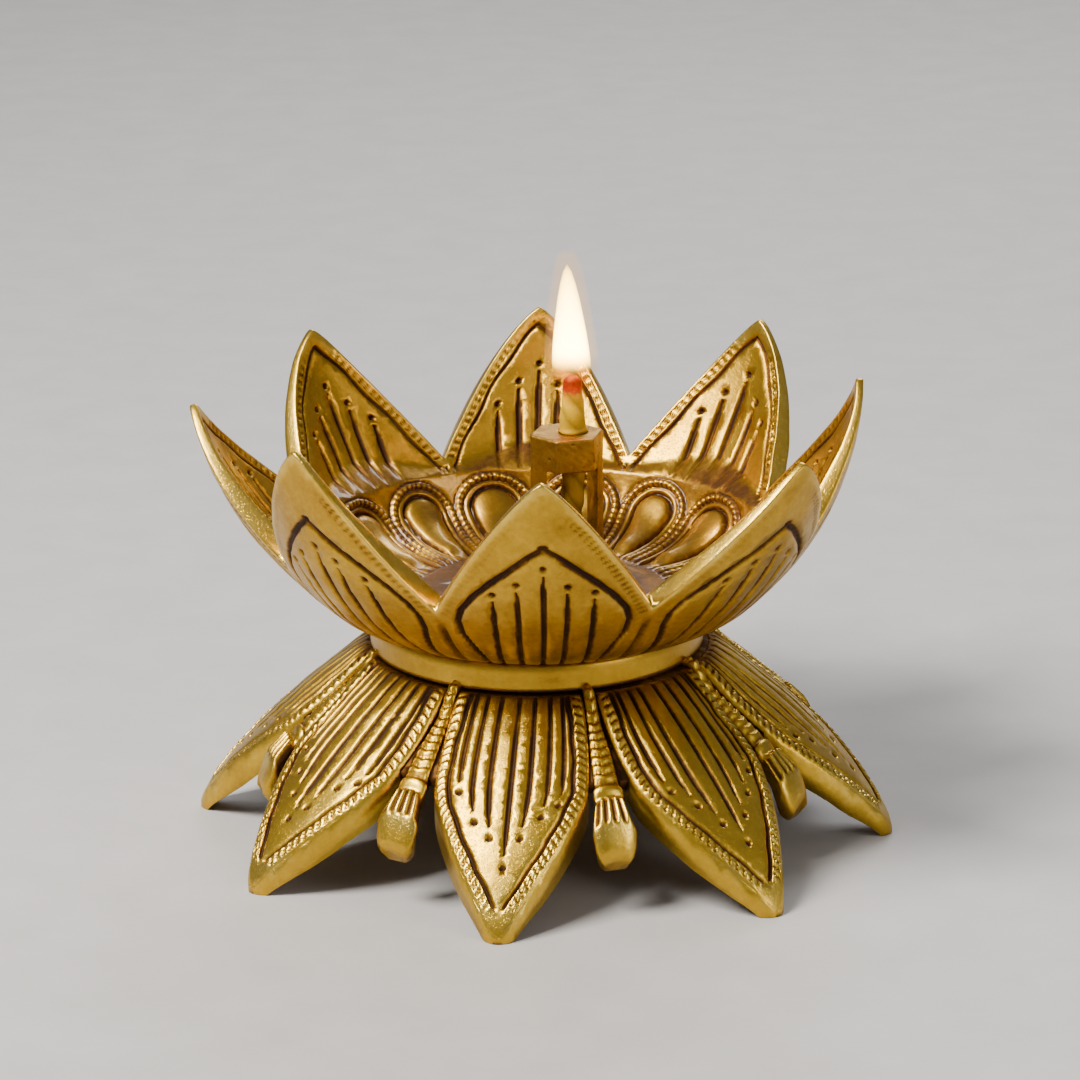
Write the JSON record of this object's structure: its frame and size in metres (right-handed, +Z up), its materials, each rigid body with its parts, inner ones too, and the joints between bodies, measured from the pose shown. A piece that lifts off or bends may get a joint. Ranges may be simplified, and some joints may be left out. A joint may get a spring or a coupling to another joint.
{
  "type": "lotus oil lamp",
  "caption": "Brass lotus diya: an open petalled oil bowl that turns on a drooping lotus stand, with a hexagonal post that holds a cotton wick.",
  "frame": {"origin": "on the table, at the stand's axis", "axes": "+Z up, -Y towards the front, where the bowl's front petal points"},
  "size_m": [0.1379, 0.1349, 0.0907],
  "materials": {
    "cast_brass": "cast and hand chased, antique brown in the grooves, rubbed bright on the high places",
    "turned_brass": "turned, dull satin with an antique tone",
    "post_brass": "sawn hexagonal bar, dull, darkened by soot and oil",
    "zinc_steel": "zinc plated",
    "seal_fibre": "oil soaked leather",
    "oiled_cotton": "twisted cotton, soaked with oil"
  },
  "bodies": {
    "stand": {"lotus_base": "cast_brass", "foot_ring": "turned_brass", "plain_washer": "turned_brass", "spring_washer": "zinc_steel"},
    "bowl": {"lotus_bowl": "cast_brass", "base_screw": "turned_brass"},
    "seal": {"seal_washer": "seal_fibre"},
    "holder": {"wick_holder": "post_brass"},
    "wick": {"wick": "oiled_cotton"}
  },
  "joints": [
    {"name": "bowl_turn", "type": "hinge", "parent": "stand", "child": "bowl", "pos_m": [0, 0, 0.04], "axis": [0, 0, 1], "continuous": true},
    {"name": "holder_rise", "type": "slide", "parent": "bowl", "child": "seal", "axis": [0, 0, 1], "range_m": [0, 0.005]},
    {"name": "holder_turn", "type": "hinge", "parent": "seal", "child": "holder", "pos_m": [0.0054, 0, 0.05], "axis": [0, 0, 1], "range_deg": [0, 1800.3]},
    {"name": "wick_feed", "type": "slide", "parent": "holder", "child": "wick", "axis": [0, 0, 1], "range_m": [0, 0.006]}
  ],
  "couplings": [
    {"joint": "holder_turn", "follows": "holder_rise", "rad_per_m": 6283.2}
  ]
}
